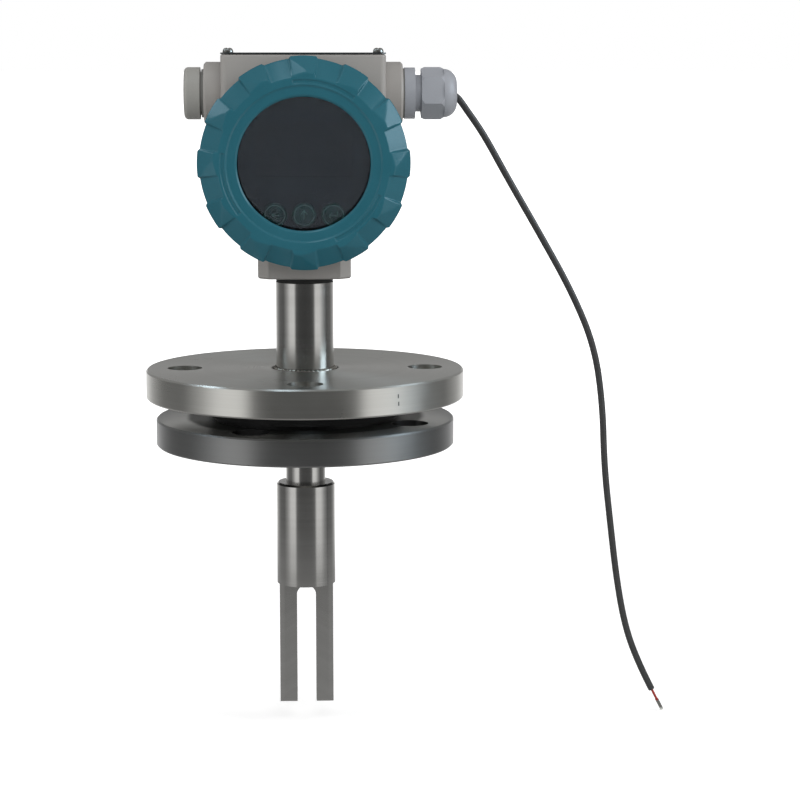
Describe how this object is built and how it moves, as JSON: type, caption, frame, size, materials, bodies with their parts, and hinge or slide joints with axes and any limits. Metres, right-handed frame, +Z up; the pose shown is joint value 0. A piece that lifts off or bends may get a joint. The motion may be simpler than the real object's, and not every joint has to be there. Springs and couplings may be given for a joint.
{
  "type": "vibrating fork density meter",
  "caption": "Flanged liquid density meter: a round head with a lugged window cover, cable gland and plug on a stem, and a tuning fork probe below the flange.",
  "frame": {"origin": "centre of the process flange's bolt circle, on the lower face of its rim", "axes": "+Z up the stem towards the head, -Y to the front where the window is, +X to the gland"},
  "size_m": [0.275, 0.165, 0.3542],
  "materials": {
    "cover_paint": "satin blue-green paint with a fine texture",
    "casting_paint": "matt warm grey paint",
    "plate_metal": "satin sheet",
    "plug_plastic": "matt moulded grey",
    "stainless": "turned stainless steel",
    "screw_steel": "bright small steel",
    "gland_plastic": "smooth moulded light grey",
    "brass": "bare turned brass",
    "window_glass": "dark flat glass",
    "black_rubber": "matt black rubber",
    "dark_gasket": "matt dark sheet gasket",
    "face_plastic": "matt dark face",
    "lcd": "dark switched-off display",
    "key_plastic": "smooth dark green",
    "board": "solder-masked board",
    "terminal_plastic": "moulded black plastic",
    "crystal": "fired ceramic",
    "wire_insulation": "smooth insulation",
    "cable_jacket": "smooth dark grey jacket"
  },
  "bodies": {
    "meter": {"process_flange": "stainless", "flange_gasket": "dark_gasket", "companion_flange": "stainless", "stem_tube": "stainless", "neck_seal": "black_rubber", "probe_neck": "stainless", "probe_body": "stainless", "tuning_fork": "stainless", "drive_crystal": "crystal", "pickup_crystal": "crystal", "crystal_clamp_bar": "screw_steel", "crystal_clamp_screw": "screw_steel", "temperature_sensor": "screw_steel", "sensor_wires": "wire_insulation", "sensor_socket": "terminal_plastic", "housing_body": "casting_paint", "front_cover_seal": "black_rubber", "rear_cover_seal": "black_rubber", "name_plate": "plate_metal", "name_plate_screws": "screw_steel", "earth_washer": "screw_steel", "earth_screw": "screw_steel", "display_face_plate": "face_plastic", "lcd_panel": "lcd", "key_switches": "terminal_plastic", "display_screws": "screw_steel", "display_board": "board", "display_pillars": "brass", "board_connector": "terminal_plastic", "main_board": "board", "main_board_pillars": "brass", "terminal_block": "terminal_plastic", "terminal_screws": "screw_steel", "terminal_block_screws": "screw_steel", "cable_leads": "wire_insulation", "plug_seal": "black_rubber", "gland_seal": "black_rubber", "gland_body": "gland_plastic", "gland_bush": "black_rubber", "gland_thrust_washer": "terminal_plastic", "cable_inner_sheath": "cable_jacket", "signal_cable": "cable_jacket", "cable_cores": "wire_insulation", "cable_ferrules": "screw_steel"},
    "front_cover": {"front_cover": "cover_paint", "window_gasket": "black_rubber", "window_glass": "window_glass", "window_ring": "casting_paint"},
    "rear_cover": {"rear_cover": "cover_paint"},
    "blanking_plug": {"blanking_plug": "plug_plastic"},
    "gland_nut": {"gland_nut": "gland_plastic"},
    "key_left": {"key_left": "key_plastic"},
    "key_middle": {"key_middle": "key_plastic"},
    "key_right": {"key_right": "key_plastic"}
  },
  "joints": [
    {"name": "front_cover_turn", "type": "hinge", "parent": "meter", "child": "front_cover", "pos_m": [0, 0, 0.1234], "axis": [0, -1, 0], "range_deg": [0, 340]},
    {"name": "rear_cover_turn", "type": "hinge", "parent": "meter", "child": "rear_cover", "pos_m": [0, 0, 0.1234], "axis": [0, 1, 0], "range_deg": [0, 340]},
    {"name": "plug_turn", "type": "hinge", "parent": "meter", "child": "blanking_plug", "pos_m": [0, 0, 0.1567], "axis": [-1, 0, 0], "range_deg": [0, 340]},
    {"name": "gland_nut_turn", "type": "hinge", "parent": "meter", "child": "gland_nut", "pos_m": [0, 0, 0.1567], "axis": [1, 0, 0], "range_deg": [0, 340]},
    {"name": "key_left_press", "type": "slide", "parent": "meter", "child": "key_left", "axis": [0, 1, 0], "range_m": [0, 0.0006], "stiffness_N_per_m": 400},
    {"name": "key_middle_press", "type": "slide", "parent": "meter", "child": "key_middle", "axis": [0, 1, 0], "range_m": [0, 0.0006], "stiffness_N_per_m": 400},
    {"name": "key_right_press", "type": "slide", "parent": "meter", "child": "key_right", "axis": [0, 1, 0], "range_m": [0, 0.0006], "stiffness_N_per_m": 400}
  ]
}
